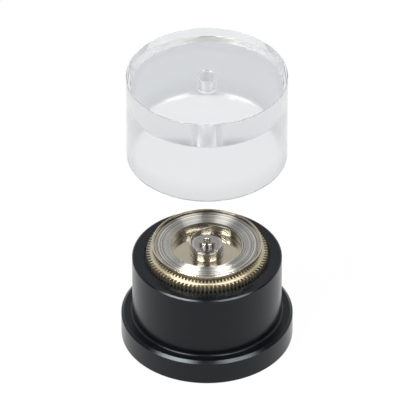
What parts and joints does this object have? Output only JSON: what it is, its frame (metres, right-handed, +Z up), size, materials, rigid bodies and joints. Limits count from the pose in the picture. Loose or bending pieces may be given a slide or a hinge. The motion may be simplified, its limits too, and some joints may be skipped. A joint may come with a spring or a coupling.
{
  "type": "mainspring barrel closing press",
  "caption": "Watchmaker's hand press: black stepped base whose nest holds an open toothed barrel with coiled mainspring and arbor, and a clear acrylic cap that slides down to close it.",
  "frame": {"origin": "centre of the base's underside, on the common axis of base, barrel, arbor and cap", "axes": "+Z up along the common axis; +X to the right and -Y to the front, where the outer end of the mainspring lies at the right"},
  "size_m": [0.0244, 0.0244, 0.0454],
  "materials": {
    "base_black": "satin black, fine turned",
    "drum_gilt": "pale gilt, polished",
    "hook_steel": "filed flush",
    "spring_steel": "bright, circular grain on the coil edges",
    "arbor_steel": "turned and polished",
    "cap_acrylic": "clear, polished"
  },
  "bodies": {
    "base": {"base_body": "base_black"},
    "barrel": {"barrel_drum": "drum_gilt", "drum_hook": "hook_steel", "mainspring": "spring_steel"},
    "arbor": {"barrel_arbor": "arbor_steel"},
    "cap": {"press_cap": "cap_acrylic"}
  },
  "joints": [
    {"name": "cap_slide", "type": "slide", "parent": "base", "child": "cap", "axis": [0, 0, 1], "range_m": [-0.0252, 0]},
    {"name": "barrel_turn", "type": "hinge", "parent": "base", "child": "barrel", "pos_m": [0, 0, 0.0147], "axis": [0, 0, 1], "continuous": true},
    {"name": "arbor_turn", "type": "hinge", "parent": "barrel", "child": "arbor", "pos_m": [0, 0, 0.0147], "axis": [0, 0, 1], "range_deg": [0, 2520], "stiffness_Nm_per_rad": 0.0001, "deforming": ["mainspring"]}
  ]
}
